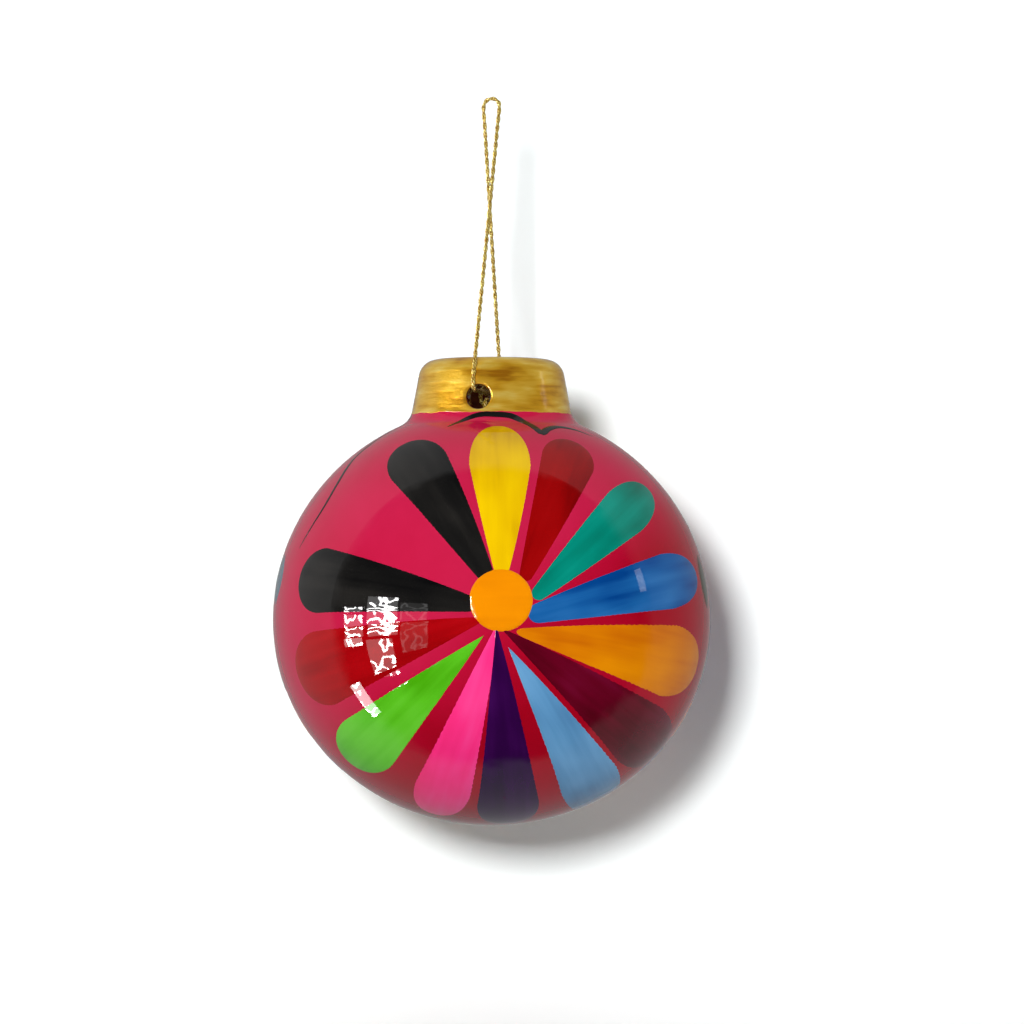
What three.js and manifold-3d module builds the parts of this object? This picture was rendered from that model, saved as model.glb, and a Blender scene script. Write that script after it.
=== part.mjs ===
// Hand-painted ceramic ball ornament, hanging from a loop of thin metallic cord.
// Millimetres, +Z up. The origin is the point that the loop hangs from: the
// underside of the cord at the top of its bend. The cord holes lie along Y.

import * as THREE from 'three';
import { mergeVertices } from 'three/addons/utils/BufferGeometryUtils.js';
import Module from 'manifold-3d';

// Ball: a hollow fired-clay shell, a little flatter below than above
const ballRadius = 40;
const crownHeight = 39.1; // from the widest circle to the top of the ball's own curve
const bowlDepth = 37.5; // from the widest circle to the underside
const ballWall = 3;

// Neck: a flared collar in one piece with the ball, open at the top
const neckFootHeight = 37.6; // above the widest circle
const neckHeight = 10.1;
const neckFootRadius = 14.7;
const neckLipRadius = 12.8; // of the straight flank, carried up to the lip's plane
const neckBoreRadius = 9.2;
const neckFillet = 4; // hollow curve between the flank and the ball
const lipRound = 3.4; // outer edge of the lip
const mouthRound = 0.6; // inner edge of the lip
const throatRound = 1.5; // edge between the bore and the ball's inside

// Cord holes: one through the front of the neck and one through its back
const holeDiameter = 4.4;
const holeHeight = 2.7; // centre above the neck's foot
const holeRound = 0.6; // edge smoothed before firing

// Cord
const cordDiameter = 0.8;
const cordSides = 8;
const cordGap = 0.3; // running clearance in the holes, and between lengths of cord
const runHeight = -53.86; // centre line of the cord inside the neck
const cordLean = -0.85; // how far to one side of the middle it is there

// Half of the cord's route, from the top of the loop down the front strand, in
// through the front hole and round the knot to its tail. The other half is the
// same, turned half a turn about Z, and the two halves are tied in a reef knot.
const halfRoute = [
  // Over the support, on a bend of 1.6 mm that also leads forward
  [0, 0, 0.4],
  [0.8, -0.24, 0.186],
  [1.386, -0.48, -0.4],
  [1.6, -0.72, -1.2],
  // Taut down to the neck
  [1.51, -1.49, -4],
  [1.32, -3.14, -10],
  [0.88, -6.99, -24],
  [0.44, -10.84, -38],
  [0.11, -13.64, -48.2],
  // Round the edge of the hole and into the neck
  [0.01, -14.64, -51.83],
  [0, -14.7, -52.26],
  [0, -14.49, -53.06],
  [0, -13.9, -53.65],
  [0, -13.1, -53.86],
  [0, -9.5, -53.86],
  [0.05, -6, -53.86],
  // Through the other half's bight, round behind its two legs and back
  [0.32, -4.3, -53.86],
  [0.56, -3, -53.86],
  [0.54, -2, -53.76],
  [0, -1, -53.86],
  [-0.58, 0, -53.29],
  [0, 1, -52.71],
  [0.58, 2, -53.29],
  [0.62, 2.85, -53.71],
  [0.62, 3.15, -54.46],
  [0.62, 2.85, -55.21],
  [0.58, 2, -55.63],
  [0, 1, -56.21],
  [-0.58, 0, -55.63],
  [0, -1, -55.06],
  [0.54, -2, -55.16],
  [0.56, -3, -55.08],
  // Tail, sprung down inside the neck
  [0.5, -4.2, -55.56],
  [0.6, -5.2, -56.56],
  [0.8, -5.9, -57.86],
];

// Lengths along the cord from the top of the loop, where its stretches meet
const topBendEnd = 2.7;
const strandEnd = 55.15;

// Fineness of the solids: how many flats make each curve
const roundSegments = 64; // round the axis
const ballSteps = 20; // from neck to underside
const insideSteps = 14;
const filletSteps = 4;
const lipSteps = 6;
const mouthSteps = 3;
const holeSegments = 24;
const bendSteps = 12; // along each stretch of cord
const strandSteps = 22;
const endSteps = 64;
const routeSamples = 3000; // for measuring along the cord
const halvings = 60; // in the search for a tangent point

// Look of each material
const glaze = new THREE.MeshStandardMaterial({ color: 0xb51738, roughness: 0.12, metalness: 0 });
const goldCord = { color: 0xc79a3a, roughness: 0.35, metalness: 0.8 };

const wasm = await Module();
wasm.setup();

// A closed three.js geometry as a solid that can be cut
function solidOf(geometry) {
  const bare = geometry.clone();
  bare.deleteAttribute('normal');
  bare.deleteAttribute('uv');
  const merged = mergeVertices(bare, 1e-5);
  const index = merged.index.array;
  const triangles = [];
  for (let i = 0; i < index.length; i += 3) {
    const [a, b, c] = [index[i], index[i + 1], index[i + 2]];
    // A triangle at the pole of a turned shape has two corners in one place
    if (a !== b && b !== c && c !== a) triangles.push(a, b, c);
  }
  return new wasm.Manifold(new wasm.Mesh({
    numProp: 3,
    vertProperties: new Float32Array(merged.attributes.position.array),
    triVerts: new Uint32Array(triangles),
  }));
}

function geometryOf(solid) {
  const mesh = solid.getMesh();
  const geometry = new THREE.BufferGeometry();
  geometry.setAttribute('position', new THREE.BufferAttribute(mesh.vertProperties, 3));
  geometry.setIndex(new THREE.BufferAttribute(mesh.triVerts, 1));
  geometry.computeVertexNormals();
  return geometry;
}

// The functions below work in the plane of a turned profile, on Vector2 points: x is
// the radius, and y the height above the ball's widest circle

// A quarter of an ellipse from the axis out to the widest circle, with its normals
function quarterEllipse(radius, height) {
  return {
    point: (t) => new THREE.Vector2(radius * Math.sin(t), height * Math.cos(t)),
    normal: (t) => new THREE.Vector2(Math.sin(t) / radius, Math.cos(t) / height).normalize(),
  };
}

function arc(centre, radius, from, to, steps) {
  return Array.from({ length: steps + 1 }, (_, i) => {
    const angle = THREE.MathUtils.lerp(from, to, i / steps);
    return new THREE.Vector2(Math.cos(angle), Math.sin(angle)).multiplyScalar(radius).add(centre);
  });
}

// The arc that runs from a straight wall, through wallPoint with the unit normal
// wallNormal, onto an ellipse below it. t is where it meets the ellipse.
function filletOnto(ellipse, wallPoint, wallNormal, radius) {
  const centreAt = (t) => ellipse.point(t).addScaledVector(ellipse.normal(t), radius);
  let [near, far] = [0, Math.PI / 2];
  for (let i = 0; i < halvings; i += 1) {
    const t = (near + far) / 2;
    if (centreAt(t).sub(wallPoint).dot(wallNormal) < radius) near = t;
    else far = t;
  }
  const centre = centreAt(near);
  const from = wallNormal.angle() - Math.PI;
  const to = ellipse.normal(near).angle() - Math.PI;
  return { t: near, points: arc(centre, radius, from, to, filletSteps) };
}

// Ellipse from t = from to t = to, without its first point
function along(ellipse, from, to, steps) {
  return Array.from({ length: steps }, (_, i) => (
    ellipse.point(THREE.MathUtils.lerp(from, to, (i + 1) / steps))
  ));
}

const neckTaper = Math.atan2(neckFootRadius - neckLipRadius, neckHeight);
const lipHeight = neckFootHeight + neckHeight;

// Radius of the neck's straight flank at a height above the ball's widest circle
function flankRadius(height) {
  return neckLipRadius + (lipHeight - height) * Math.tan(neckTaper);
}

// Section of the clay from the ball's underside, up the outside and over the lip,
// down through the neck and round the inside to the bottom of the hollow
function clayProfile() {
  const crown = quarterEllipse(ballRadius, crownHeight);
  const bowl = quarterEllipse(ballRadius, -bowlDepth);
  const crownInside = quarterEllipse(ballRadius - ballWall, crownHeight - ballWall);
  const bowlInside = quarterEllipse(ballRadius - ballWall, ballWall - bowlDepth);

  const flankNormal = new THREE.Vector2(Math.cos(neckTaper), Math.sin(neckTaper));
  const flankTop = new THREE.Vector2(neckLipRadius, lipHeight);
  const outer = filletOnto(crown, flankTop, flankNormal, neckFillet);
  const boreTop = new THREE.Vector2(neckBoreRadius, lipHeight);
  const inner = filletOnto(crownInside, boreTop, new THREE.Vector2(1, 0), throatRound);

  const lipInset = lipRound * (1 - Math.sin(neckTaper)) / Math.cos(neckTaper);
  const lipCentre = new THREE.Vector2(neckLipRadius - lipInset, lipHeight - lipRound);
  const mouthCentre = new THREE.Vector2(neckBoreRadius + mouthRound, lipHeight - mouthRound);

  const outside = [
    ...arc(mouthCentre, mouthRound, Math.PI, Math.PI / 2, mouthSteps),
    ...arc(lipCentre, lipRound, Math.PI / 2, neckTaper, lipSteps),
    ...outer.points,
    ...along(crown, outer.t, Math.PI / 2, ballSteps / 2),
    ...along(bowl, Math.PI / 2, 0, ballSteps / 2),
  ];
  const inside = [
    ...inner.points,
    ...along(crownInside, inner.t, Math.PI / 2, insideSteps / 2),
    ...along(bowlInside, Math.PI / 2, 0, insideSteps / 2),
  ];
  return [...outside.reverse(), ...inside];
}

// The punch for both cord holes: a straight bore whose ends flare out by the
// radius of the smoothed edge, and follow the neck's round and sloping face
function holePunch() {
  const radius = holeDiameter / 2;
  const height = neckFootHeight + holeHeight;
  const face = flankRadius(height);
  const flareStart = face - holeRound;
  const flareCentre = new THREE.Vector2(radius + holeRound, flareStart);
  const flare = arc(flareCentre, holeRound, Math.PI, Math.PI / 2, filletSteps);
  const past = new THREE.Vector2(radius + holeRound, face + neckFillet);
  const half = [...flare, past, new THREE.Vector2(0, past.y)];
  const mirrored = half.map((p) => new THREE.Vector2(p.x, -p.y)).reverse();
  const punch = new THREE.LatheGeometry([...mirrored, ...half], holeSegments);

  const position = punch.attributes.position;
  const p = new THREE.Vector3();
  for (let i = 0; i < position.count; i += 1) {
    p.fromBufferAttribute(position, i);
    const here = flankRadius(height + p.z);
    const shift = Math.sqrt(here * here - p.x * p.x) - face;
    position.setY(i, p.y + Math.sign(p.y) * shift);
  }
  return solidOf(punch.translate(0, 0, height));
}

function ceramicBall() {
  const turned = new THREE.LatheGeometry(clayProfile(), roundSegments);
  turned.rotateX(Math.PI / 2);
  const mesh = new THREE.Mesh(geometryOf(solidOf(turned).subtract(holePunch())), glaze);
  mesh.name = 'ceramic_ball';
  // The upper part of each hole hangs on the cord, which lies beside its middle
  const cordOffset = holeDiameter / 2 - cordDiameter / 2 - cordGap;
  const holeAxis = runHeight - Math.sqrt(cordOffset ** 2 - cordLean ** 2);
  mesh.position.z = holeAxis - neckFootHeight - holeHeight;
  return mesh;
}

// The whole cord, from the back half's tail over the loop to the front half's. It
// leans to one side on its way down.
function cordRoute() {
  const front = halfRoute.map(([x, y, z]) => new THREE.Vector3(x, y, z));
  const back = halfRoute.slice(1).map(([x, y, z]) => new THREE.Vector3(-x, -y, z));
  const points = [...back.reverse(), ...front];
  for (const point of points) point.x += cordLean * point.z / runHeight;
  const route = new THREE.CatmullRomCurve3(points);
  route.arcLengthDivisions = routeSamples;
  return route;
}

// A length of a route, between two distances from its middle
class Stretch extends THREE.Curve {
  constructor(route, from, to) {
    super();
    this.route = route;
    this.from = from;
    this.to = to;
  }

  getPoint(t, target) {
    const distance = THREE.MathUtils.lerp(this.from, this.to, t);
    return this.route.getPointAt(0.5 + distance / this.route.getLength(), target);
  }
}

function cordSection() {
  const corners = Array.from({ length: cordSides }, (_, i) => {
    const angle = (2 * Math.PI * i) / cordSides;
    return new THREE.Vector2(Math.cos(angle), Math.sin(angle)).multiplyScalar(cordDiameter / 2);
  });
  return new THREE.Shape(corners);
}

function cordStretch(name, route, from, to, steps) {
  const extrudePath = new Stretch(route, from, to);
  const tube = new THREE.ExtrudeGeometry(cordSection(), { steps, extrudePath, bevelEnabled: false });
  const mesh = new THREE.Mesh(tube, new THREE.MeshStandardMaterial(goldCord));
  mesh.name = name;
  return mesh;
}

function hangingCord() {
  const route = cordRoute();
  const tailTip = route.getLength() / 2;
  const half = cordGap / 2;
  const cord = new THREE.Group();
  cord.add(
    cordStretch('cord_top_bend', route, half - topBendEnd, topBendEnd - half, bendSteps),
    cordStretch('cord_front_strand', route, topBendEnd + half, strandEnd - half, strandSteps),
    cordStretch('cord_back_strand', route, half - strandEnd, -topBendEnd - half, strandSteps),
    cordStretch('cord_front_end', route, strandEnd + half, tailTip, endSteps),
    cordStretch('cord_back_end', route, -tailTip, -strandEnd - half, endSteps),
  );
  return cord;
}

const ornament = new THREE.Group();
ornament.add(hangingCord(), ceramicBall());

export default ornament;
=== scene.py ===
# Hand-painted ceramic ball ornament on a loop of thin gold cord.
# Metres, +Z up. The origin is the point that the loop hangs from.

import math

import bpy
import numpy as np
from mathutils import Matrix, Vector


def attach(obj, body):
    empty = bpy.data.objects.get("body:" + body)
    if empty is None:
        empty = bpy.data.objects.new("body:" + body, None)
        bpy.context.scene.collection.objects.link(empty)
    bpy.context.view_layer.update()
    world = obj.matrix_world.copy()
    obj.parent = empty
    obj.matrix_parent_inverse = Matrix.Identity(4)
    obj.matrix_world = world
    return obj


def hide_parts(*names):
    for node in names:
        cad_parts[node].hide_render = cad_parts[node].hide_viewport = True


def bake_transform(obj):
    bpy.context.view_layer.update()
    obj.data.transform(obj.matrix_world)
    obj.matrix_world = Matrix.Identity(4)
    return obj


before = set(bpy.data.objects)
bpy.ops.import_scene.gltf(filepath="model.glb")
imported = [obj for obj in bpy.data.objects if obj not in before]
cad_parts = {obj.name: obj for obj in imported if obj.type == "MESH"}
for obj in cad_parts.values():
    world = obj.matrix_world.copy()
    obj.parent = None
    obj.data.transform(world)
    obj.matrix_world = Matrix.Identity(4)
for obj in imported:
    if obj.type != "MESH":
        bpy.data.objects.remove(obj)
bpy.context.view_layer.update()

MM = 0.001


# Camera, level with the ball and a little to its right, with a long lens

camera_azimuth = math.radians(9.9)
camera_distance = 0.8
camera_height = -95.4 * MM
picture_width = 187.7 * MM  # what the frame spans at the ball's distance
picture_centre = (3.75 * MM, -75.6 * MM)  # beside the ball's axis, and up
sensor_width = 36

toward_camera = Vector((math.sin(camera_azimuth), -math.cos(camera_azimuth), 0))
camera_right = Vector((math.cos(camera_azimuth), math.sin(camera_azimuth), 0))

camera = bpy.data.objects.new("camera", bpy.data.cameras.new("camera"))
bpy.context.scene.collection.objects.link(camera)
bpy.context.scene.camera = camera
camera.data.sensor_width = sensor_width
camera.data.lens = sensor_width * camera_distance / picture_width
camera.data.clip_start = 0.01
camera.location = toward_camera * camera_distance + Vector((0, 0, camera_height))
aim = camera_right * picture_centre[0] + Vector((0, 0, picture_centre[1]))
camera.rotation_euler = (aim - camera.location).to_track_quat("-Z", "Y").to_euler()


# Gold cord: one length of thin two-ply cord, each ply a thread wrapped in metal foil.
# It goes over the support and down in through both holes of the neck, where its two
# ends are tied in a reef knot that is too wide to come out again.

cord_diameter = 0.8 * MM
run_height = -53.86  # mm, where the cord runs inside the neck
cord_lean = -0.85  # mm, how far to one side of the middle it is there
half_route = [  # mm, from the top of the loop to the front half's tail
    # Over the support
    (0, 0, 0.4), (0.8, -0.24, 0.186), (1.386, -0.48, -0.4), (1.6, -0.72, -1.2),
    # Taut down to the neck
    (1.51, -1.49, -4), (1.32, -3.14, -10), (0.88, -6.99, -24), (0.44, -10.84, -38),
    (0.11, -13.64, -48.2),
    # Round the edge of the hole and into the neck
    (0.01, -14.64, -51.83), (0, -14.7, -52.26), (0, -14.49, -53.06), (0, -13.9, -53.65),
    (0, -13.1, -53.86), (0, -9.5, -53.86), (0.05, -6, -53.86),
    # Through the other half's bight, round behind its two legs and back
    (0.32, -4.3, -53.86), (0.56, -3, -53.86), (0.54, -2, -53.76), (0, -1, -53.86),
    (-0.58, 0, -53.29), (0, 1, -52.71), (0.58, 2, -53.29), (0.62, 2.85, -53.71),
    (0.62, 3.15, -54.46), (0.62, 2.85, -55.21), (0.58, 2, -55.63), (0, 1, -56.21),
    (-0.58, 0, -55.63), (0, -1, -55.06), (0.54, -2, -55.16), (0.56, -3, -55.08),
    # Tail, sprung down inside the neck
    (0.5, -4.2, -55.56), (0.6, -5.2, -56.56), (0.8, -5.9, -57.86),
]
route_step = 0.1 * MM
ply_count = 2
ply_radius = 0.225 * MM
ply_offset = 0.175 * MM  # from the cord's middle to a ply's
twist_length = 3.36 * MM  # for one whole turn of a ply
ply_sides = 12
foil_pitch = 0.5 * MM


def smooth_curve(points, step):
    """A centripetal Catmull-Rom curve through the points, at equal steps along it"""
    p = np.array(points, float)
    p = np.vstack([2 * p[0] - p[1], p, 2 * p[-1] - p[-2]])
    samples = []
    for i in range(1, len(p) - 2):
        t1, t2, t3 = np.cumsum([np.linalg.norm(p[j + 1] - p[j]) ** 0.5 for j in (i - 1, i, i + 1)])
        t = np.linspace(t1, t2, 40, endpoint=i == len(p) - 3)[:, None]
        a1 = p[i - 1] + (p[i] - p[i - 1]) * t / t1
        a2 = p[i] + (p[i + 1] - p[i]) * (t - t1) / (t2 - t1)
        a3 = p[i + 1] + (p[i + 2] - p[i + 1]) * (t - t2) / (t3 - t2)
        b1 = a1 + (a2 - a1) * t / t2
        b2 = a2 + (a3 - a2) * (t - t1) / (t3 - t1)
        samples.append(b1 + (b2 - b1) * (t - t1) / (t2 - t1))
    samples = np.vstack(samples)
    lengths = np.concatenate([[0], np.cumsum(np.linalg.norm(np.diff(samples, axis=0), axis=1))])
    stations = np.linspace(0, lengths[-1], round(lengths[-1] / step) + 1)
    return np.stack([np.interp(stations, lengths, samples[:, k]) for k in range(3)], axis=1)


def line_object(name, points, **values):
    """A chain of edges through the points, with the values as attributes of the points"""
    mesh = bpy.data.meshes.new(name)
    mesh.from_pydata([tuple(p) for p in points], [(i, i + 1) for i in range(len(points) - 1)], [])
    for key, numbers in values.items():
        mesh.attributes.new(key, "FLOAT", "POINT").data.foreach_set("value", numbers)
    made = bpy.data.objects.new(name, mesh)
    bpy.context.scene.collection.objects.link(made)
    return made


class Nodes:
    """A node tree, with short ways to add a node and to write a sum"""

    def __init__(self, tree):
        self.tree = tree
        tree.nodes.clear()

    def add(self, kind, inputs=(), **settings):
        node = self.tree.nodes.new(kind)
        for key, value in settings.items():
            setattr(node, key, value)
        for key, value in dict(inputs).items():
            if isinstance(value, bpy.types.NodeSocket):
                self.tree.links.new(value, node.inputs[key])
            else:
                node.inputs[key].default_value = value
        return node

    def math(self, operation, *values):
        return self.add("ShaderNodeMath", enumerate(values), operation=operation).outputs[0]

    def vector(self, operation, *values):
        node = self.add("ShaderNodeVectorMath", operation=operation)
        for socket, value in zip([s for s in node.inputs if s.enabled], values):
            if isinstance(value, bpy.types.NodeSocket):
                self.tree.links.new(value, socket)
            else:
                socket.default_value = value
        return node.outputs["Value" if operation in ("DOT_PRODUCT", "LENGTH") else "Vector"]

    def scaled(self, vector, factor):
        return self.add("ShaderNodeVectorMath", {0: vector, "Scale": factor},
                        operation="SCALE").outputs[0]

    def kept_on(self, geometry, **fields):
        """Fields that are measured on this geometry, and the geometry that holds them"""
        node = self.add("GeometryNodeCaptureAttribute")
        self.tree.links.new(geometry, node.inputs["Geometry"])
        for key, (kind, value) in fields.items():
            node.capture_items.new(kind, key)
            self.tree.links.new(value, node.inputs[key])
        return node.outputs


def geometry_tree(name, inputs):
    """A Geometry Nodes tree with named inputs, its Nodes and its input sockets"""
    tree = bpy.data.node_groups.new(name, "GeometryNodeTree")
    for key, kind in [("Geometry", "Geometry"), *inputs]:
        tree.interface.new_socket(name=key, in_out="INPUT", socket_type="NodeSocket" + kind)
    tree.interface.new_socket(name="Geometry", in_out="OUTPUT", socket_type="NodeSocketGeometry")
    nodes = Nodes(tree)
    return nodes, nodes.add("NodeGroupInput").outputs


def grown(name, base, tree, **inputs):
    """The plain mesh that a Geometry Nodes tree makes of a base object"""
    modifier = base.modifiers.new("grow", "NODES")
    modifier.node_group = tree
    for item in tree.interface.items_tree:
        if item.in_out == "INPUT" and item.name in inputs:
            modifier[item.identifier] = inputs[item.name]
    depsgraph = bpy.context.evaluated_depsgraph_get()
    mesh = bpy.data.meshes.new_from_object(base.evaluated_get(depsgraph), depsgraph=depsgraph)
    bpy.data.objects.remove(base)
    mesh.name = name
    mesh.polygons.foreach_set("use_smooth", [True] * len(mesh.polygons))
    made = bpy.data.objects.new(name, mesh)
    bpy.context.scene.collection.objects.link(made)
    return made


def laid_cord_tree():
    """Plies that wind round a centre line, each with its own wrap coordinates"""
    nodes, given = geometry_tree("laid_cord", [
        ("Plies", "Int"), ("Ply radius", "Float"), ("Ply offset", "Float"),
        ("Twist length", "Float"), ("Sides", "Int"), ("Material", "Material")])
    line = nodes.add("GeometryNodeMeshToCurve", {"Mesh": given["Geometry"]})
    copies = nodes.add("GeometryNodeDuplicateElements", {
        "Geometry": line.outputs[0], "Amount": given["Plies"]}, domain="SPLINE")
    along = nodes.add("GeometryNodeSplineParameter").outputs["Length"]
    share = nodes.math("DIVIDE", copies.outputs["Duplicate Index"], given["Plies"])
    turns = nodes.math("ADD", nodes.math("DIVIDE", along, given["Twist length"]), share)
    angle = nodes.math("MULTIPLY", turns, math.tau)
    normal = nodes.add("GeometryNodeInputNormal").outputs[0]
    tangent = nodes.add("GeometryNodeInputTangent").outputs[0]
    side = nodes.vector("CROSS_PRODUCT", tangent, normal)
    around = nodes.vector("ADD", nodes.scaled(normal, nodes.math("COSINE", angle)),
                          nodes.scaled(side, nodes.math("SINE", angle)))
    marked = nodes.kept_on(copies.outputs["Geometry"], along=("FLOAT", along))
    wound = nodes.add("GeometryNodeSetPosition", {
        "Geometry": marked["Geometry"], "Offset": nodes.scaled(around, given["Ply offset"])})
    circle = nodes.add("GeometryNodeCurvePrimitiveCircle", {
        "Resolution": given["Sides"], "Radius": given["Ply radius"]})
    place = nodes.add("GeometryNodeInputPosition").outputs[0]
    rim = nodes.kept_on(circle.outputs["Curve"], rim=("VECTOR", place))
    swept = nodes.add("GeometryNodeCurveToMesh", {
        "Curve": wound.outputs[0], "Profile Curve": rim["Geometry"], "Fill Caps": True})
    across = nodes.add("ShaderNodeSeparateXYZ", {0: rim["rim"]})
    wrap = nodes.add("ShaderNodeCombineXYZ", {
        "X": across.outputs["X"], "Y": across.outputs["Y"], "Z": marked["along"]})
    kept = nodes.add("GeometryNodeStoreNamedAttribute", {
        "Geometry": swept.outputs[0], "Name": "wrap", "Value": wrap.outputs[0]},
        data_type="FLOAT_VECTOR", domain="POINT")
    real = nodes.add("GeometryNodeRealizeInstances", {0: kept.outputs[0]})
    dressed = nodes.add("GeometryNodeSetMaterial", {
        "Geometry": real.outputs[0], "Material": given["Material"]})
    nodes.add("NodeGroupOutput", {0: dressed.outputs[0]})
    return nodes.tree


def linear(red, green, blue):
    """A colour given as it looks on a screen, 0 to 255, as the light that makes it"""
    return tuple(((c / 255 + 0.055) / 1.055) ** 2.4 if c > 10 else c / 255 / 12.92
                 for c in (red, green, blue)) + (1,)


def ramp_of(nodes, factor, *stops):
    """A colour ramp through (position, colour) stops"""
    node = nodes.add("ShaderNodeValToRGB", {0: factor})
    elements = node.color_ramp.elements
    while len(elements) < len(stops):
        elements.new(0.5)
    for element, (position, colour) in zip(elements, stops):
        element.position, element.color = position, colour
    return node.outputs["Color"]


def gold_thread():
    """Metal foil wound round a thread: fine slanting wraps, their crests painted lighter and the
    grooves between them darker as painted highlight and shade, over a random unevenness
    """
    material = bpy.data.materials.new("gold_thread")
    material.use_nodes = True
    nodes = Nodes(material.node_tree)
    wrap = nodes.add("ShaderNodeAttribute", attribute_name="wrap").outputs["Vector"]
    part = nodes.add("ShaderNodeSeparateXYZ", {0: wrap}).outputs
    angle = nodes.math("ARCTAN2", part["Y"], part["X"])
    turn = nodes.math("MULTIPLY", part["Z"], math.tau / foil_pitch)
    ridge = nodes.math("SINE", nodes.math("ADD", turn, nodes.math("MULTIPLY", angle, 2)))
    uneven = nodes.add("ShaderNodeTexNoise", {
        "Vector": wrap, "Scale": 3200.0, "Detail": 2.0, "Roughness": 0.6}).outputs[0]
    # The wraps' crests are painted lighter and their grooves darker, a painted highlight and shade;
    # the noise adds random unevenness
    shine = nodes.math("ADD", nodes.math("MULTIPLY", ridge, 0.16), uneven)
    tone = ramp_of(nodes, shine, (0.34, linear(132, 70, 0)), (0.44, linear(174, 138, 30)),
                   (0.56, linear(222, 198, 92)), (0.68, linear(246, 236, 158)))
    bump = nodes.add("ShaderNodeBump", {
        "Height": shine, "Strength": 0.6, "Distance": 0.05 * MM})
    shader = nodes.add("ShaderNodeBsdfPrincipled", {
        "Base Color": tone, "Metallic": 0.4, "Roughness": 0.3, "Normal": bump.outputs[0]})
    nodes.add("ShaderNodeOutputMaterial", {"Surface": shader.outputs[0]})
    return material


half = np.array(half_route)
route = np.vstack([half[:0:-1] * (-1, -1, 1), half])
route[:, 0] += cord_lean * route[:, 2] / run_height
centre_line = smooth_curve(route * MM, route_step)

cord = grown("gold_cord", line_object("cord_line", centre_line), laid_cord_tree(), **{
    "Plies": ply_count, "Ply radius": ply_radius, "Ply offset": ply_offset,
    "Twist length": twist_length, "Sides": ply_sides, "Material": gold_thread()})
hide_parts("cord_top_bend", "cord_front_strand", "cord_back_strand",
            "cord_front_end", "cord_back_end")
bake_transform(cord)


# Clay body: a hollow ball and its short open neck, slip-cast in one piece and fired,
# with two smoothed holes for the cord. It is painted crimson, its neck is brushed with
# gold, its inside is bare clay, and the outside is varnished to a high gloss.

ball_radius = 40 * MM
crown_height = 39.1 * MM
bowl_depth = 37.5 * MM
ball_wall = 3 * MM
foot_height = 37.6 * MM
neck_height = 10.1 * MM
foot_radius = 14.7 * MM
lip_radius = 12.8 * MM
bore_radius = 9.2 * MM
neck_fillet = 4 * MM
lip_round = 3.4 * MM
mouth_round = 0.6 * MM
throat_round = 1.5 * MM
hole_radius = 2.2 * MM
hole_round = 0.6 * MM
hole_height = foot_height + 2.7 * MM
cord_gap = 0.3 * MM

cord_offset = hole_radius - cord_diameter / 2 - cord_gap
ball_height = (run_height * MM - hole_height
               - math.sqrt(cord_offset ** 2 - (cord_lean * MM) ** 2))  # of its centre
lip_height = foot_height + neck_height
neck_taper = math.atan2(foot_radius - lip_radius, neck_height)
columns = 240  # round the axis
patch_columns = 15  # each side of a hole's middle, in its own ring of faces
patch_reach = 3.6 * MM
patch_rows = 24
collar_rings = 9  # rings of faces between a patch's edge and its hole
edge_rings = 9  # and round the hole's smoothed edge
bore_rings = 8  # and through the wall
ring_spread = 1.3  # above 1, the rings lie closer to the hole


def ellipse(radius, height, t):
    return np.stack([radius * np.sin(t), height * np.cos(t)], axis=-1)


def arc(centre, radius, start, end, steps):
    angle = np.linspace(start, end, steps + 1)
    return np.array(centre) + radius * np.stack([np.cos(angle), np.sin(angle)], axis=1)


def fillet_onto(radius, height, wall_point, wall_angle, fillet, steps):
    """Where an arc from a straight wall meets an ellipse below it, and the arc's points"""
    wall = np.array([math.cos(wall_angle), math.sin(wall_angle)])
    near, far = 0, math.pi / 2
    for _ in range(60):
        t = (near + far) / 2
        normal = np.array([math.sin(t) / radius, math.cos(t) / height])
        normal /= np.linalg.norm(normal)
        centre = ellipse(radius, height, t) + normal * fillet
        if (centre - wall_point) @ wall < fillet:
            near = t
        else:
            far = t
    slope = math.atan2(normal[1], normal[0])
    return near, arc(centre, fillet, wall_angle - math.pi, slope - math.pi, steps)


def clay_profiles():
    """The outside from the underside up to the mouth, and the inside from there down"""
    flank_top = np.array([lip_radius, lip_height])
    t, fillet = fillet_onto(ball_radius, crown_height, flank_top, neck_taper, neck_fillet, 60)
    inner_radius, inner_crown = ball_radius - ball_wall, crown_height - ball_wall
    inner_bowl = bowl_depth - ball_wall
    u, throat = fillet_onto(inner_radius, inner_crown, np.array([bore_radius, lip_height]),
                            0, throat_round, 10)
    lip_inset = lip_round * (1 - math.sin(neck_taper)) / math.cos(neck_taper)
    lip_centre = (lip_radius - lip_inset, lip_height - lip_round)
    mouth_centre = (bore_radius + mouth_round, lip_height - mouth_round)
    outside = np.vstack([
        ellipse(ball_radius, -bowl_depth, np.linspace(0, math.pi / 2, 71))[:-1],
        ellipse(ball_radius, crown_height, np.linspace(math.pi / 2, t, 71))[:-1],
        fillet[::-1],
        arc(lip_centre, lip_round, neck_taper, math.pi / 2, 20),
        arc(mouth_centre, mouth_round, math.pi / 2, math.pi, 8)])
    inside = np.vstack([
        throat,
        ellipse(inner_radius, inner_crown, np.linspace(u, math.pi / 2, 41))[1:],
        ellipse(inner_radius, -inner_bowl, np.linspace(math.pi / 2, 0, 41))[1:]])
    return outside, inside


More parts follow.
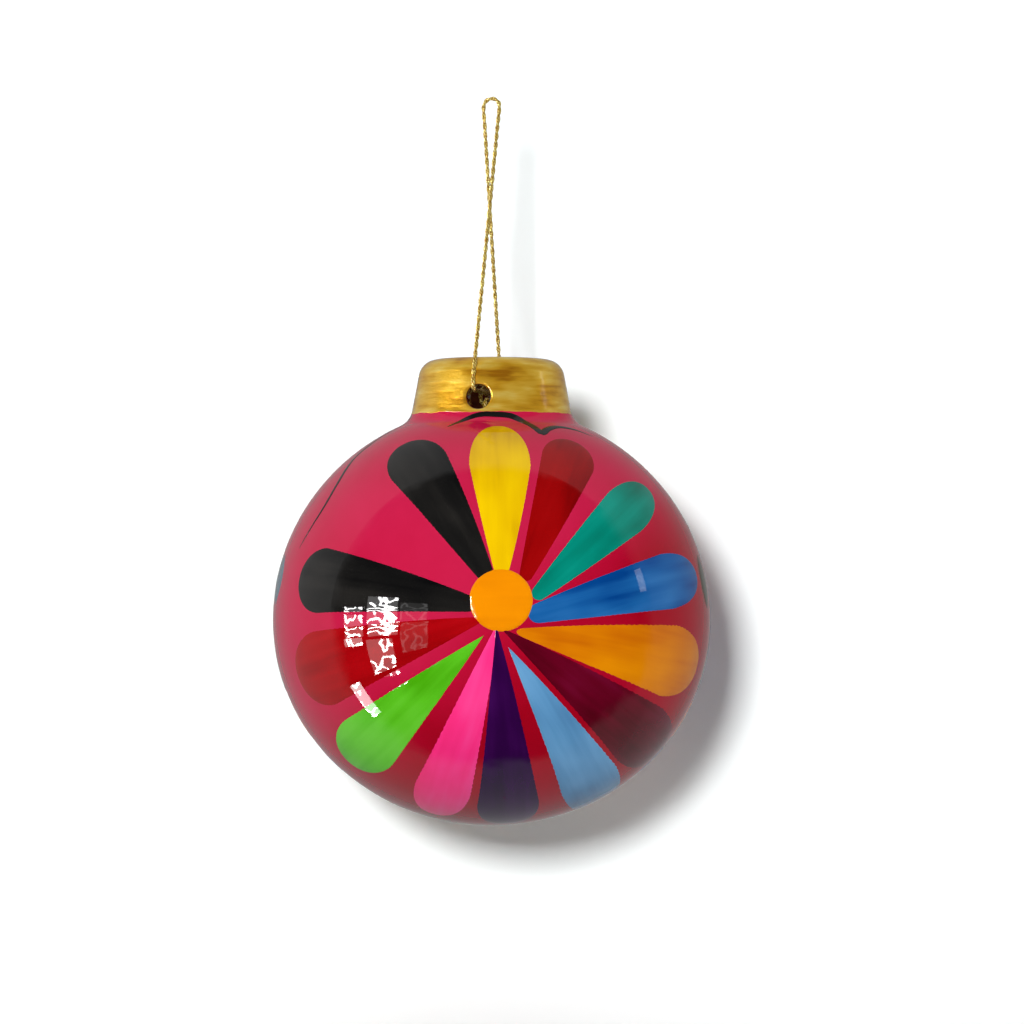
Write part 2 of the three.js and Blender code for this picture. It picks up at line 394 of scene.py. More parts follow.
def clay_mesh():
    """The turned body, with a ring of faces let in round each end of each hole"""
    outside, inside = clay_profiles()
    low, high = hole_height - patch_reach, hole_height + patch_reach
    rows = np.linspace(low, high, patch_rows + 1)
    rising = outside[: outside[:, 1].argmax() + 1]

    def outer_radius(z):
        return np.interp(z, rising[:, 1], rising[:, 0])

    outer_rows = np.stack([outer_radius(rows), rows], axis=1)
    inner_rows = np.stack([np.full(len(rows), bore_radius), rows], axis=1)
    below = outside[outside[:, 1] < low - 0.1 * MM]
    above = outside[outside[:, 1] > high + 0.1 * MM]
    deeper = inside[inside[:, 1] < low - 0.1 * MM]
    profile = np.vstack([below, outer_rows, above, inner_rows[::-1], deeper])
    first_outer = len(below)
    first_inner = len(below) + len(outer_rows) + len(above)
    profile = profile[1:-1]  # the two poles are single points
    first_outer, first_inner = first_outer - 1, first_inner - 1

    angle = np.arange(columns) * math.tau / columns
    points = [(r * math.sin(a), -r * math.cos(a), z) for r, z in profile for a in angle]
    zone = [float(i >= first_inner - 5) for i in range(len(profile)) for _ in angle]
    south, north = len(points), len(points) + 1
    points += [(0, 0, -bowl_depth), (0, 0, ball_wall - bowl_depth)]
    zone += [0.0, 1.0]
    faces = []
    for j in range(len(profile) - 1):
        patched = first_outer <= j < first_outer + patch_rows or \
            first_inner <= j < first_inner + patch_rows
        for i in range(columns):
            k = (i + 1) % columns
            from_middle = min((i + 0.5) % (columns / 2), columns / 2 - (i + 0.5) % (columns / 2))
            if patched and from_middle < patch_columns:
                continue
            faces.append((j * columns + i, j * columns + k, (j + 1) * columns + k,
                          (j + 1) * columns + i))
    last = (len(profile) - 1) * columns
    for i in range(columns):
        k = (i + 1) % columns
        faces.append((south, k, i))
        faces.append((north, last + i, last + k))

    def frame_of(first_row, middle_column):
        """The grid points round a patch, anticlockwise seen from outside"""
        spread = range(-patch_columns, patch_columns)
        up = range(patch_rows)
        loop = [(first_row, c) for c in spread]
        loop += [(first_row + r, patch_columns) for r in up]
        loop += [(first_row + patch_rows, -c) for c in spread]
        loop += [(first_row + patch_rows - r, -patch_columns) for r in up]
        return [r * columns + (middle_column + c) % columns for r, c in loop]

    for middle_column, side in ((0, 1), (columns // 2, -1)):
        outer_frame = frame_of(first_outer, middle_column)
        flat = np.array([(points[v][0] * side, points[v][2] - hole_height) for v in outer_frame])
        inner_frame = []
        for v in outer_frame:
            row, column = divmod(v, columns)
            inner_frame.append((first_inner + patch_rows - (row - first_outer)) * columns + column)
        inner_flat = np.array([(points[v][0] * side, points[v][2] - hole_height)
                               for v in inner_frame])
        # Both ends of a spoke keep the outer frame's direction, so the bore isn't twisted
        spoke = flat / np.linalg.norm(flat, axis=1)[:, None]
        rings = []

        def face_y(x, z, radius):
            return np.sqrt(radius ** 2 - x ** 2)

        def add_ring(xz, depth, share):
            """share runs from 0 on the outside of the neck to 1 on its bore"""
            x, z = xz[:, 0], xz[:, 1] + hole_height
            outer = face_y(x, z, outer_radius(z)) - depth
            inner = face_y(x, z, bore_radius) + depth
            y = outer + (inner - outer) * share
            start = len(points)
            points.extend((side * a, -side * b, c) for a, b, c in zip(x, y, z))
            painted = share == 0 and depth < hole_round * 0.6
            zone.extend([0.0 if painted else 0.5 if share < 1 else 1.0] * len(x))
            rings.append(list(range(start, start + len(x))))

        collar = hole_radius + hole_round
        nearing = np.arange(1, collar_rings) / collar_rings
        turns = np.linspace(0, math.pi / 2, edge_rings)
        rings.append(outer_frame)
        for t in (1 - nearing) ** ring_spread:
            add_ring(spoke * collar + (flat - spoke * collar) * t, 0, 0)
        for turn in turns:
            add_ring(spoke * (hole_radius + hole_round * (1 - math.sin(turn))),
                     hole_round * (1 - math.cos(turn)), 0)
        for share in np.linspace(0, 1, bore_rings)[1:-1]:
            add_ring(spoke * hole_radius, hole_round, share)
        for turn in turns[::-1]:
            add_ring(spoke * (hole_radius + hole_round * (1 - math.sin(turn))),
                     hole_round * (1 - math.cos(turn)), 1)
        for t in nearing ** ring_spread:
            add_ring(spoke * collar + (inner_flat - spoke * collar) * t, 0, 1)
        rings.append(inner_frame)
        for a, b in zip(rings, rings[1:]):
            for i in range(len(a)):
                k = (i + 1) % len(a)
                faces.append((a[i], a[k], b[k], b[i]))

    used = sorted({v for face in faces for v in face})
    place = {v: i for i, v in enumerate(used)}
    points = [(points[v][0], points[v][1], points[v][2] + ball_height) for v in used]
    faces = [tuple(place[v] for v in face) for face in faces]
    mesh = bpy.data.meshes.new("clay_body")
    mesh.from_pydata(points, [], faces)
    mesh.attributes.new("zone", "FLOAT", "POINT").data.foreach_set("value", [zone[v] for v in used])
    mesh.polygons.foreach_set("use_smooth", [True] * len(faces))
    return mesh


def varnish(nodes, colour, **more):
    """Paint under a coat of clear gloss varnish"""
    return nodes.add("ShaderNodeBsdfPrincipled", {
        "Base Color": colour, "Roughness": 0.45, "Specular IOR Level": 0.0,
        "Coat Weight": 1.0, "Coat Roughness": 0.03, "Coat IOR": 1.5, **more})


def mixed(nodes, factor, a, b):
    node = nodes.add("ShaderNodeMix", data_type="RGBA")
    for socket, value in zip((node.inputs[0], node.inputs[6], node.inputs[7]), (factor, a, b)):
        if isinstance(value, bpy.types.NodeSocket):
            nodes.tree.links.new(value, socket)
        else:
            socket.default_value = value
    return node.outputs[2]


def noise(nodes, where, scale, stretch=(1, 1, 1), detail=3.0):
    mapping = nodes.add("ShaderNodeMapping", {"Vector": where, "Scale": stretch})
    return nodes.add("ShaderNodeTexNoise", {
        "Vector": mapping.outputs[0], "Scale": scale, "Detail": detail}).outputs[0]


def smooth_step(nodes, value, start, end):
    return nodes.add("ShaderNodeMapRange", {
        0: value, "From Min": start, "From Max": end}, interpolation_type="SMOOTHSTEP").outputs[0]


def painted_clay():
    """Crimson on the ball, with painted shade low down and to the right, gold brushed round the
    neck, dark crimson in the holes
    """
    material = bpy.data.materials.new("crimson_and_gold")
    material.use_nodes = True
    nodes = Nodes(material.node_tree)
    where = nodes.add("ShaderNodeTexCoord").outputs["Object"]
    place = nodes.add("ShaderNodeSeparateXYZ", {0: where}).outputs
    height = place["Z"]

    # The crimson is clouded all over at random, and painted darker low down and toward +X, the
    # right as seen from the front, as painted shade
    cloud = noise(nodes, where, 45.0)
    painted_shade_lean = nodes.math("MULTIPLY_ADD", place["X"], -0.5, height)
    painted_shade_lean = nodes.math("MULTIPLY_ADD", nodes.math("MAXIMUM", place["X"], 0.0), -0.4, painted_shade_lean)
    level = smooth_step(nodes, painted_shade_lean, ball_height - 24 * MM, ball_height + 4 * MM)
    # depth mixes the random clouding with that painted shade
    depth = nodes.math("MULTIPLY", nodes.math("ADD", cloud, level), 0.5)
    crimson = ramp_of(nodes, depth, (0.2, linear(160, 0, 26)), (0.5, linear(182, 10, 50)),
                      (0.85, linear(200, 32, 76)))
    # Round the neck the brush leaves level streaks, thin and brown in places
    streaks = noise(nodes, where, 110.0, (1, 1, 7), 6.0)
    patches = noise(nodes, where, 160.0, (1, 1, 2), 2.0)
    lines = nodes.math("ADD", nodes.math("MULTIPLY", streaks, 0.6),
                       nodes.math("MULTIPLY", patches, 0.4))
    gold = ramp_of(nodes, lines, (0.34, linear(176, 114, 16)), (0.45, linear(224, 168, 40)),
                   (0.55, linear(240, 194, 68)), (0.66, linear(252, 224, 116)))
    ragged = noise(nodes, where, 260.0)
    edge = nodes.math("MULTIPLY_ADD", ragged, 0.7 * MM, height)
    brushed = smooth_step(nodes, edge, gold_line + 0.3 * MM, gold_line + 0.42 * MM)
    zone = nodes.add("ShaderNodeAttribute", attribute_name="zone").outputs["Fac"]
    in_hole = smooth_step(nodes, zone, 0.2, 0.5)

    colour = mixed(nodes, in_hole, mixed(nodes, brushed, crimson, gold), linear(112, 8, 20))
    on_neck = nodes.math("MULTIPLY", brushed, nodes.math("SUBTRACT", 1.0, in_hole))
    relief = nodes.math("MULTIPLY", lines, on_neck)
    orange_peel = noise(nodes, where, 150.0, detail=1.0)
    skin = nodes.add("ShaderNodeBump", {
        "Height": orange_peel, "Strength": 0.1, "Distance": 0.1 * MM})
    bump = nodes.add("ShaderNodeBump", {
        "Height": relief, "Strength": 0.6, "Distance": 0.45 * MM, "Normal": skin.outputs[0]})
    shader = varnish(nodes, colour, **{
        "Metallic": nodes.math("MULTIPLY", on_neck, 0.5), "Roughness": 0.32,
        "Normal": bump.outputs[0], "Coat Normal": bump.outputs[0]})
    nodes.add("ShaderNodeOutputMaterial", {"Surface": shader.outputs[0]})
    return material


def bare_clay():
    """Fired clay as it left the mould, matt and a little gritty"""
    material = bpy.data.materials.new("bare_clay")
    material.use_nodes = True
    nodes = Nodes(material.node_tree)
    where = nodes.add("ShaderNodeTexCoord").outputs["Object"]
    grit = noise(nodes, where, 900.0, detail=5.0)
    colour = ramp_of(nodes, grit, (0.3, linear(120, 62, 36)), (0.7, linear(156, 88, 54)))
    bump = nodes.add("ShaderNodeBump", {"Height": grit, "Strength": 0.5, "Distance": 0.1 * MM})
    shader = nodes.add("ShaderNodeBsdfPrincipled", {
        "Base Color": colour, "Roughness": 0.9, "Specular IOR Level": 0.3,
        "Normal": bump.outputs[0]})
    nodes.add("ShaderNodeOutputMaterial", {"Surface": shader.outputs[0]})
    return material


gold_line = -57.8 * MM  # where the neck's gold stops
clay = bpy.data.objects.new("clay_body", clay_mesh())
bpy.context.scene.collection.objects.link(clay)
clay.data.materials.append(painted_clay())
clay.data.materials.append(bare_clay())
inside = [all(clay.data.attributes["zone"].data[v].value == 1 for v in face.vertices)
          for face in clay.data.polygons]
clay.data.polygons.foreach_set("material_index", [int(bare) for bare in inside])
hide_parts("ceramic_ball")
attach(clay, "ball")


# Painted flowers: thirteen petals, each one stroke of a loaded round brush, pulled from
# its broad tip in to the middle, and a thick dot of paint over where they meet. The one
# in front has its odd gap and its own colours, and there is another behind.

weld_distance = 1e-8  # metres, for the points that meet at a stroke's two ends
film_sink = 0.004 * MM  # how deep a film of paint is let into the clay
film_flatness = 6.0  # how flat its back is before it rounds off at the edges
petal_film = 0.045  # mm, how thick the lowest petals are
petal_layer = 0.012  # mm, how much more the ones that overlap them have


def brush_tree():
    """A film of paint along a path, spread to its half width and laid on the clay"""
    nodes, given = geometry_tree("brush_stroke", [
        ("Clay", "Object"), ("Thickness", "Float"), ("Sink", "Float"), ("Sides", "Int"),
        ("Flatness", "Float"), ("Seed", "Float"), ("Material", "Material")])
    line = nodes.add("GeometryNodeMeshToCurve", {"Mesh": given["Geometry"]})

    def attribute(key):
        return nodes.add("GeometryNodeInputNamedAttribute", {"Name": key}).outputs[0]

    place = nodes.add("GeometryNodeInputPosition").outputs[0]
    path = nodes.kept_on(
        line.outputs[0], spine=("VECTOR", place), width=("FLOAT", attribute("width")),
        heading=("VECTOR", nodes.add("GeometryNodeInputTangent").outputs[0]),
        edge=("FLOAT", attribute("edge")), along=("FLOAT", attribute("along")))
    circle = nodes.add("GeometryNodeCurvePrimitiveCircle", {
        "Resolution": given["Sides"], "Radius": 1.0})
    rim = nodes.kept_on(circle.outputs["Curve"], rim=("VECTOR", place))
    film = nodes.add("GeometryNodeCurveToMesh", {
        "Curve": path["Geometry"], "Profile Curve": rim["Geometry"]})
    body = nodes.add("GeometryNodeObjectInfo", {"Object": given["Clay"]}).outputs["Geometry"]
    body = nodes.kept_on(body, normal=("VECTOR", nodes.add("GeometryNodeInputNormal").outputs[0]))

    def on_clay(value, near):
        node = nodes.add("GeometryNodeSampleNearestSurface", data_type="FLOAT_VECTOR")
        nodes.tree.links.new(body["Geometry"], node.inputs["Mesh"])
        nodes.tree.links.new(value, [s for s in node.inputs if s.name == "Value" and s.enabled][0])
        nodes.tree.links.new(near, node.inputs["Sample Position"])
        return [s for s in node.outputs if s.name == "Value" and s.enabled][0]

    profile = nodes.add("ShaderNodeSeparateXYZ", {0: rim["rim"]}).outputs
    side = nodes.vector("NORMALIZE", nodes.vector(
        "CROSS_PRODUCT", on_clay(body["normal"], path["spine"]), path["heading"]))
    across = nodes.math("MULTIPLY", profile["X"], path["width"])
    beside = nodes.vector("ADD", path["spine"], nodes.scaled(side, across))

    def falloff(value):
        return nodes.math("SUBTRACT", 1.0, nodes.math(
            "POWER", nodes.math("ABSOLUTE", value), given["Flatness"]))

    fullness = nodes.math("MULTIPLY", falloff(profile["X"]), falloff(path["edge"]))
    on_top = nodes.math("GREATER_THAN", profile["Y"], 0.0)
    rise = nodes.math("MULTIPLY", on_top, nodes.math("ADD", given["Thickness"], given["Sink"]))
    drop = nodes.math("MULTIPLY", nodes.math("SUBTRACT", 1.0, on_top), given["Sink"])
    lift = nodes.math("SUBTRACT", nodes.math("MULTIPLY", fullness,
                                             nodes.math("SUBTRACT", rise, drop)), given["Sink"])
    spot = nodes.vector("ADD", on_clay(place, beside),
                        nodes.scaled(on_clay(body["normal"], beside), lift))
    laid = nodes.add("GeometryNodeSetPosition", {"Geometry": film.outputs[0], "Position": spot})
    closed = nodes.add("GeometryNodeMergeByDistance", {
        "Geometry": laid.outputs[0], "Distance": weld_distance})
    stroke = nodes.add("ShaderNodeCombineXYZ", {
        "X": across, "Y": path["along"], "Z": given["Seed"]})
    marked = nodes.add("GeometryNodeStoreNamedAttribute", {
        "Geometry": closed.outputs[0], "Name": "stroke", "Value": stroke.outputs[0]},
        data_type="FLOAT_VECTOR", domain="POINT")
    real = nodes.add("GeometryNodeRealizeInstances", {0: marked.outputs[0]})
    dressed = nodes.add("GeometryNodeSetMaterial", {
        "Geometry": real.outputs[0], "Material": given["Material"]})
    nodes.add("NodeGroupOutput", {0: dressed.outputs[0]})
    return nodes.tree


def brushed_paint(name, dark, plain, light):
    """One colour with the long streaks that the hairs leave, under the varnish"""
    material = bpy.data.materials.new(name)
    material.use_nodes = True
    nodes = Nodes(material.node_tree)
    stroke = nodes.add("ShaderNodeAttribute", attribute_name="stroke").outputs["Vector"]
    hairs = noise(nodes, stroke, 500.0, (1, 0.07, 1), 3.0)
    pools = noise(nodes, stroke, 90.0, (1, 0.5, 1), 2.0)
    tone = nodes.math("ADD", nodes.math("MULTIPLY", hairs, 0.3), nodes.math("MULTIPLY", pools, 0.7))
    colour = ramp_of(nodes, tone, (0.36, dark), (0.5, plain), (0.64, light))
    bump = nodes.add("ShaderNodeBump", {"Height": hairs, "Strength": 0.2, "Distance": 0.05 * MM})
    shader = varnish(nodes, colour, Normal=bump.outputs[0])
    nodes.add("ShaderNodeOutputMaterial", {"Surface": shader.outputs[0]})
    return material


def outward_at(azimuth, elevation):
    """The direction at an azimuth and an elevation in degrees. Azimuth 0 is the front."""
    a, e = np.radians(azimuth), np.radians(elevation)
    return np.stack([np.sin(a) * np.cos(e), -np.cos(a) * np.cos(e), np.sin(e)], axis=-1)


def onto_ball(outward):
    """Where directions from the ball's middle meet its surface, which isn't quite round"""
    tall = np.where(outward[:, 2] > 0, crown_height, bowl_depth)
    size = np.stack([np.full(len(tall), ball_radius)] * 2 + [tall], axis=1)
    return outward * size + (0, 0, ball_height)


class Flower:
    """A flat map of the ball round the flower's middle, in mm to the right and up"""

    def __init__(self, azimuth, elevation):
        self.middle = outward_at(azimuth, elevation)
        self.right = outward_at(azimuth + 90, 0)
        self.up = np.cross(self.right, self.middle)
        self.up *= np.sign(self.up[2])

    def on_ball(self, points):
        """Where points of the map lie on the ball"""
        points = np.array(points, float) * MM
        reach = np.hypot(points[:, 0], points[:, 1])
        turn = np.arctan2(points[:, 1], points[:, 0])
        angle = (reach / ball_radius)[:, None]
        outward = np.cos(turn)[:, None] * self.right + np.sin(turn)[:, None] * self.up
        return onto_ball(self.middle * np.cos(angle) + outward * np.sin(angle))


paint_tree = brush_tree()
paint_count = 0


def lay_paint(name, places, widths, edges, along, thickness, paint, sides=40):
    """A stroke through places on the ball, with its half widths in mm, as a piece"""
    global paint_count
    paint_count += 1
    line = line_object(name + "_line", places, width=np.array(widths) * MM,
                       edge=edges, along=np.array(along) * MM)
    piece = grown(name, line, paint_tree, Clay=clay, Thickness=thickness * MM, Sink=film_sink,
                  Sides=sides, Flatness=film_flatness, Seed=paint_count * 1.7, Material=paint)
    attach(piece, "ball")
    return piece


def petal(name, flower, paint, root, heading, length, root_width, width, widest, layer):
    """A teardrop from its root out to its round tip. Half widths and lengths in mm."""
    s = length * (1 - np.cos(np.linspace(0, math.pi, 56))) / 2
    shoulder = widest * length
    u = np.clip(s / shoulder, 0, 1)
    end = np.clip((s - shoulder) / (length - shoulder), 0, 1)
    half_width = (root_width + (width - root_width) * u * (1 + 0.35 * (1 - u)))
    half_width = half_width * np.sqrt(np.clip(1 - end ** 2, 0, 1))
    start = np.clip(1 - s / max(root_width, 1), 0, 1)
    half_width = half_width * np.sqrt(1 - start ** 2)
    turn = math.radians(heading)
    track = np.array(root) + np.outer(s, (math.cos(turn), math.sin(turn)))
    lay_paint(name, flower.on_ball(track), half_width, np.maximum(start, end), s,
              petal_film + petal_layer * layer, paint)


def dot(name, flower, paint, radius, thickness):
    """A round drop of paint at the middle of a flower"""
    s = -radius * np.cos(np.linspace(0, math.pi, 48))
    lay_paint(name, flower.on_ball(np.stack([s, s * 0], axis=1)),
              np.sqrt(np.clip(radius ** 2 - s ** 2, 0, None)), np.abs(s) / radius, s,
              thickness, paint)


petal_colours = {  # dark, plain and light tones
    "yellow": ((206, 156, 0), (230, 184, 0), (242, 200, 0)),
    "dark_red": ((124, 0, 2), (150, 2, 4), (160, 6, 8)),
    "teal": ((0, 112, 94), (0, 134, 116), (8, 148, 130)),
    "blue": ((0, 62, 134), (22, 92, 160), (44, 112, 178)),
    "orange": ((196, 96, 0), (216, 122, 0), (228, 138, 0)),
    "plum": ((74, 0, 14), (98, 0, 28), (112, 8, 46)),
    "sky": ((76, 126, 172), (92, 148, 194), (108, 164, 210)),
    "violet": ((34, 0, 50), (46, 0, 64), (60, 6, 80)),
    "pink": ((246, 40, 118), (255, 50, 134), (255, 70, 150)),
    "green": ((70, 166, 8), (88, 190, 30), (104, 202, 52)),
    "left_red": ((142, 0, 4), (166, 2, 10), (176, 8, 18)),
    "black": ((8, 8, 9), (24, 23, 22), (38, 36, 34)),
    "amber": ((228, 130, 0), (238, 140, 0), (246, 150, 2)),
}
paints = {name: brushed_paint(name + "_paint", *[linear(*tone) for tone in tones])
          for name, tones in petal_colours.items()}
petals = [  # root on the map, heading, length, half widths at the root and widest, where widest
    ((0.1, 4.5), 89.4, 35.9, 1.1, 5.6, 0.65),
    ((4.0, 3.5), 69, 36.0, 1.0, 5.0, 0.79),
    ((5.7, 0.4), 44, 39.5, 1.1, 4.6, 0.69),
    ((4.8, -2.8), 15.5, 43.5, 1.5, 5.1, 0.71),
    ((2.7, -5.7), -10, 46.2, 0.5, 6.7, 0.73),
    ((-0.1, -5.0), -37.2, 56.8, 0, 6.4, 0.7),
    ((1.2, -8.5), -58.4, 61.6, 0, 5.7, 0.62),
    ((-0.9, -4.3), -85, 55.9, 0, 5.7, 0.77),
    ((-0.5, -4.3), -106.7, 52.9, 0.2, 5.2, 0.74),
    ((-3.0, -6.4), -135.6, 45.5, 0, 6.0, 0.77),
    ((-2.6, -3.2), -163.5, 44.9, 0.2, 7.0, 0.79),
    ((-4.3, -0.9), 168, 40.0, 1.2, 6.0, 0.82),
    ((-2.2, 3.8), 118.3, 37.9, 1.3, 5.6, 0.76),
]
front_colours = ["yellow", "dark_red", "teal", "blue", "orange", "plum", "sky", "violet",
                 "pink", "green", "left_red", "black", "black"]
back_colours = ["sky", "violet", "pink", "green", "left_red", "black", "yellow", "dark_red",
                "teal", "orange", "blue", "plum", "green"]
for side, azimuth, colours in (("front", 12.3, front_colours), ("back", 192.3, back_colours)):
    flower = Flower(azimuth, 5.1)
    for i, (colour, stroke) in enumerate(zip(colours, petals)):
        petal(f"{side}_petal_{i + 1}", flower, paints[colour], *stroke, layer=i % 4)
    dot(f"{side}_dot", flower, paints["amber"], 5.55, 0.5)


# Brush work between the flowers: a loose wavy line of black under the neck above each
# flower and, on each side, a long curved stroke, two leaves and a row of drops on a stem,
# all of it painted free-hand with a fine brush before the varnish.

fine_step = 0.4  # mm between a fine stroke's points
fine_film = 0.05  # mm, how thick its paint is
leaf_film = 0.06


def fine_stroke(name, turn, points, half_width, paint, fullest=0.5):
    """A stroke through (azimuth, elevation) points that starts and ends in a thin tail"""
    azimuth, elevation = np.array(points, float).T
    places = smooth_curve(onto_ball(outward_at(azimuth + turn, elevation)), fine_step * MM)
    u = np.linspace(0, 1, len(places))
    swell = np.sin(math.pi * u ** (math.log(0.5) / math.log(fullest))) ** 0.5
    lay_paint(name, places, half_width * np.clip(swell, 0.001, 1), np.abs(2 * u - 1),
              fine_step * u * len(places), fine_film, paint, sides=16)


def leaf(name, turn, middle, length, half_width, paint):
    """A pointed oval leaf that stands upright. Lengths in mm."""
    flat = Flower(middle[0] + turn, middle[1])
    s = length * np.linspace(-0.5, 0.5, 40)
    track = np.stack([s * 0, s], axis=1)
    share = np.abs(s) * 2 / length
    lay_paint(name, flat.on_ball(track), half_width * (1 - share ** 2) ** 0.8, share, s,
              leaf_film, paint, sides=24)


neck_wave = [(-15.9, 62.2), (-12.5, 64.7), (-5.3, 67.5), (2.5, 69), (13.3, 69), (23.7, 68.2),
             (31.9, 64.7), (34.9, 61), (35.8, 58.8), (41, 61.1), (50.4, 62.9), (61, 61.8),
             (66.9, 59.7), (70.2, 57.7)]
side_curve = [(-70.8, 71.9), (-65, 60), (-59.8, 48.2), (-57.1, 44.9), (-53, 38.4), (-51.8, 31.5),
              (-53.5, 25.3), (-56.5, 18.8)]
stem = [(-81.7, 60), (-79.7, 46), (-81.4, 30), (-80, 12), (-81.4, -6), (-80, -24), (-80.9, -40)]
paints["olive"] = brushed_paint("olive_paint", linear(40, 42, 28), linear(52, 54, 36),
                                linear(62, 64, 44))
paints["slate"] = brushed_paint("slate_paint", linear(84, 104, 118), linear(98, 120, 134),
                                linear(112, 134, 146))
for side, turn in (("front", 0), ("back", 180)):
    fine_stroke(f"{side}_neck_wave", turn, neck_wave, 0.8, paints["black"], fullest=0.45)
    fine_stroke(f"{side}_side_curve", turn, side_curve, 0.5, paints["black"], fullest=0.42)
    fine_stroke(f"{side}_stem", turn, stem, 0.3, paints["black"])
    leaf(f"{side}_slate_leaf", turn, (-70.8, 10.9), 9.7, 4.2, paints["slate"])
    leaf(f"{side}_olive_leaf", turn, (-91.7, 10.4), 10.5, 3, paints["olive"])
    for i, (height, half_width, colour) in enumerate(
            ((-14, 2.0, "teal"), (-29, 1.7, "amber"), (-43, 1.4, "sky"))):
        drop = Flower(-80.7 + turn, height)
        petal(f"{side}_drop_{i + 1}", drop, paints[colour], (0, 2.5 * half_width), -90,
              5 * half_width, 0, half_width, 0.7, 3)


# Studio: a plain pale floor that curves up into a wall close behind the ornament, soft
# lamps on all sides, and a paned window whose shape shows in the varnish.

wall_gap = 46 * MM  # from the ball's axis
floor_height = -185 * MM
cove_radius = 40 * MM
half_span = 1.6
wall_top = 1.4


def backdrop_mesh():
    turn = np.linspace(0, math.pi / 2, 13)
    cove = [(wall_gap - cove_radius + cove_radius * math.sin(t),
             floor_height + cove_radius - cove_radius * math.cos(t)) for t in turn]
    section = [(-half_span, floor_height), *cove, (wall_gap, wall_top)]
    points = []
    for away, z in section:
        for x in (-half_span, half_span):
            points.append(camera_right * x - toward_camera * away + Vector((0, 0, z)))
    faces = [(2 * i, 2 * i + 1, 2 * i + 3, 2 * i + 2) for i in range(len(section) - 1)]
    mesh = bpy.data.meshes.new("backdrop")
    mesh.from_pydata([tuple(p) for p in points], [], faces)
    mesh.polygons.foreach_set("use_smooth", [True] * len(faces))
    return mesh


def mirrored_wall(nodes, way):
    """How bright the wall is in the varnish. It's dim to the right, where shadow lies on it."""
    share = nodes.vector("DOT_PRODUCT", nodes.vector("NORMALIZE", way), tuple(camera_right))
    shade = nodes.math("POWER", nodes.math("MAXIMUM", share, 0.0), 2.0)
    return nodes.math("MULTIPLY_ADD", shade, right_mirrored - wall_mirrored, wall_mirrored)


def pale_wall():
    """White and matt, evenly lit far from the ornament, dimmer in the varnish, and clear
    to a camera behind it or under it"""
    material = bpy.data.materials.new("pale_wall")
    material.use_nodes = True
    nodes = Nodes(material.node_tree)
    ray = nodes.add("ShaderNodeLightPath").outputs
    geometry = nodes.add("ShaderNodeNewGeometry").outputs
    place = nodes.add("ShaderNodeTexCoord").outputs["Object"]
    far = smooth_step(nodes, nodes.vector("LENGTH", place), lit_reach, white_reach)
    upward = nodes.add("ShaderNodeSeparateXYZ", {0: geometry["Normal"]}).outputs["Z"]
    behind = nodes.math("MULTIPLY", nodes.math("SUBTRACT", 1.0, far),
                        nodes.math("SUBTRACT", 1.0, upward))
    paint = nodes.math("MULTIPLY_ADD", ray["Is Camera Ray"], wall_seen - wall_bounce, wall_bounce)
    cooler = nodes.math("MULTIPLY", paint, nodes.math("MULTIPLY_ADD", behind, red_evened, 1.0))
    diffuse = nodes.add("ShaderNodeBsdfDiffuse", {"Color": nodes.add(
        "ShaderNodeCombineColor", {0: paint, 1: cooler, 2: cooler}).outputs[0]})
    evened = nodes.math("MULTIPLY", far, ray["Is Camera Ray"])
    strength = nodes.math("MULTIPLY_ADD", ray["Is Glossy Ray"], mirrored_wall(nodes, place),
                          ray["Is Camera Ray"])
    glow = nodes.add("ShaderNodeEmission", {"Strength": strength})
    lit = nodes.add("ShaderNodeMixShader", {
        0: nodes.math("ADD", ray["Is Glossy Ray"], evened), 1: diffuse.outputs[0],
        2: glow.outputs[0]})
    is_floor = nodes.math("GREATER_THAN", upward, 0.9)
    through = nodes.math(
        "ADD", nodes.math("MULTIPLY", geometry["Backfacing"], ray["Is Camera Ray"]),
        nodes.math("MULTIPLY", is_floor, ray["Is Glossy Ray"]))
    clear = nodes.add("ShaderNodeBsdfTransparent")
    shader = nodes.add("ShaderNodeMixShader", {0: through, 1: lit.outputs[0], 2: clear.outputs[0]})
    nodes.add("ShaderNodeOutputMaterial", {"Surface": shader.outputs[0]})
    return material


def lamp(name, azimuth, elevation, distance, width, height, watts):
    """A soft lamp aimed at the ball. Azimuth 0 is the camera's side, more is to the right."""
    data = bpy.data.lights.new(name, "AREA")
    data.shape, data.size, data.size_y, data.energy = "RECTANGLE", width, height, watts
    made = bpy.data.objects.new(name, data)
    bpy.context.scene.collection.objects.link(made)
    outward = Vector(outward_at(math.degrees(camera_azimuth) + azimuth, elevation))
    made.location = outward * distance + Vector((0, 0, ball_height))
    made.rotation_euler = (-outward).to_track_quat("-Z", "Y").to_euler()
    return made


lit_reach, white_reach = 0.22, 0.4  # the wall goes plain white between these distances
wall_seen = 1.0  # how pale the wall is to the camera
wall_bounce = 0.4  # and to the light that it throws back
red_evened = 0.05  # more green and blue behind the ball, whose back throws red light there
wall_mirrored = 0.33  # how bright it is in the varnish
right_mirrored = 0.2  # and far to the right there
room_light = 0.03  # and how bright the room is there
backdrop = bpy.data.objects.new("backdrop", backdrop_mesh())
bpy.context.scene.collection.objects.link(backdrop)
backdrop.data.materials.append(pale_wall())
backdrop.visible_shadow = False  # lets the lamp behind it shine on the ball's back

lamps = [lamp("key_lamp", -8.6, 8.6, 1.3, 0.17, 0.17, 15.0),
         lamp("right_lamp", 86, 0, 1.0, 0.4, 0.4, 3.0),
         lamp("left_lamp", -84, 10, 1.0, 0.4, 0.4, 2.5),
         lamp("top_lamp", 0, 85, 1.0, 0.6, 0.3, 1.5),
         lamp("back_lamp", 180, 10, 1.0, 0.5, 0.5, 3.5)]
for shining in lamps:
    shining.visible_glossy = False

